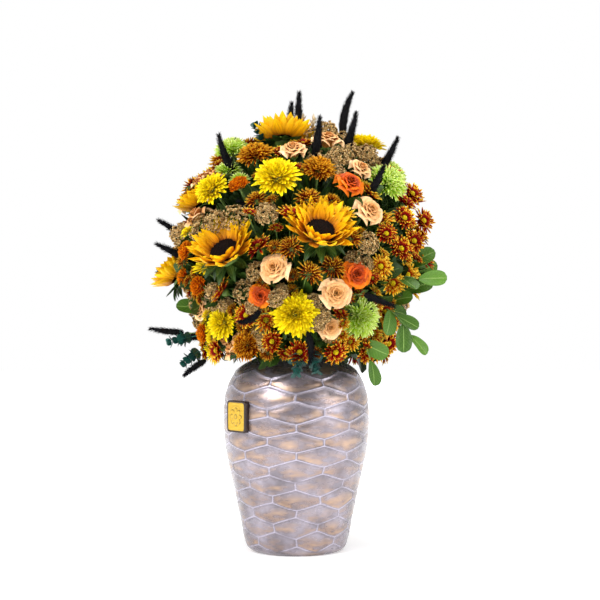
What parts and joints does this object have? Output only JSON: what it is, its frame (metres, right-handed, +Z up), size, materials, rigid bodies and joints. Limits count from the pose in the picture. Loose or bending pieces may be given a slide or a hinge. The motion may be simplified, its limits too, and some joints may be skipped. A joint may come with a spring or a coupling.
{
  "type": "flower bouquet in a ceramic vase",
  "caption": "Bouquet of sunflowers, chrysanthemums, roses, daisies and dried foxtails held by floral foam in a glazed ceramic vase.",
  "frame": {"origin": "middle of the vase's flat foot, on the surface that it stands on", "axes": "+Z up along the vase's axis, -Y the front that faces the viewer, +X the viewer's right"},
  "size_m": [0.4551, 0.4584, 0.7343],
  "materials": {
    "pearl_glaze": "pearl lustre glaze over pressed scales, brushed with gold",
    "brass_plaque": "polished face with a dark painted edge",
    "wet_foam": "wet open-cell florist's foam",
    "sunflower_petal": "fresh yellow petals round a black-brown disc",
    "yellow_petal": "fresh yellow petals",
    "green_petal": "fresh lime-green petals",
    "bronze_petal": "fresh bronze petals with gold tips",
    "orange_petal": "fresh orange petals",
    "peach_petal": "fresh peach petals",
    "red_petal": "fresh dark red petals with yellow tips",
    "seed_head": "dried tan seed heads",
    "black_foxtail": "dried and dyed black grass heads",
    "leaf": "fresh green leaves"
  },
  "bodies": {
    "root": {"bronze_mum_back": "bronze_petal", "bronze_mum_centre": "bronze_petal", "bronze_mum_left": "bronze_petal", "bronze_mum_low": "bronze_petal", "daisies_back_high": "red_petal", "daisies_back_left": "red_petal", "daisies_back_low": "red_petal", "daisies_left": "red_petal", "daisies_low_front": "red_petal", "daisies_low_left": "red_petal", "daisies_low_right": "red_petal", "daisies_right": "red_petal", "daisies_right_high": "red_petal", "daisies_right_low": "red_petal", "floral_foam": "wet_foam", "foxtails_left": "black_foxtail", "foxtails_left_high": "black_foxtail", "foxtails_left_low": "black_foxtail", "foxtails_right": "black_foxtail", "foxtails_top": "black_foxtail", "foxtails_top_right": "black_foxtail", "green_mum_far_right": "green_petal", "green_mum_left_high": "green_petal", "green_mum_right_high": "green_petal", "green_mum_right_low": "green_petal", "leaves_back": "leaf", "leaves_left": "leaf", "leaves_right": "leaf", "orange_mum_left": "orange_petal", "orange_mum_left_high": "orange_petal", "orange_rose_front_low": "orange_petal", "orange_rose_right": "orange_petal", "orange_rose_right_high": "orange_petal", "peach_roses_back": "peach_petal", "peach_roses_far_right": "peach_petal", "peach_roses_left": "peach_petal", "peach_roses_right": "peach_petal", "peach_roses_top": "peach_petal", "seed_heads_back": "seed_head", "seed_heads_centre": "seed_head", "seed_heads_left": "seed_head", "seed_heads_right": "seed_head", "seed_heads_top": "seed_head", "sunflower_back_high": "sunflower_petal", "sunflower_back_left": "sunflower_petal", "sunflower_back_right": "sunflower_petal", "sunflower_front_left": "sunflower_petal", "sunflower_front_right": "sunflower_petal", "sunflower_left_high": "sunflower_petal", "sunflower_left_low": "sunflower_petal", "sunflower_top": "sunflower_petal", "vase": "pearl_glaze", "vase_plaque": "brass_plaque", "yellow_mum_centre": "yellow_petal", "yellow_mum_far_left": "yellow_petal", "yellow_mum_front_low": "yellow_petal", "yellow_mum_left": "yellow_petal", "yellow_mum_left_low": "yellow_petal", "yellow_mum_top_right": "yellow_petal", "yellow_mums_back": "yellow_petal"}
  },
  "joints": []
}
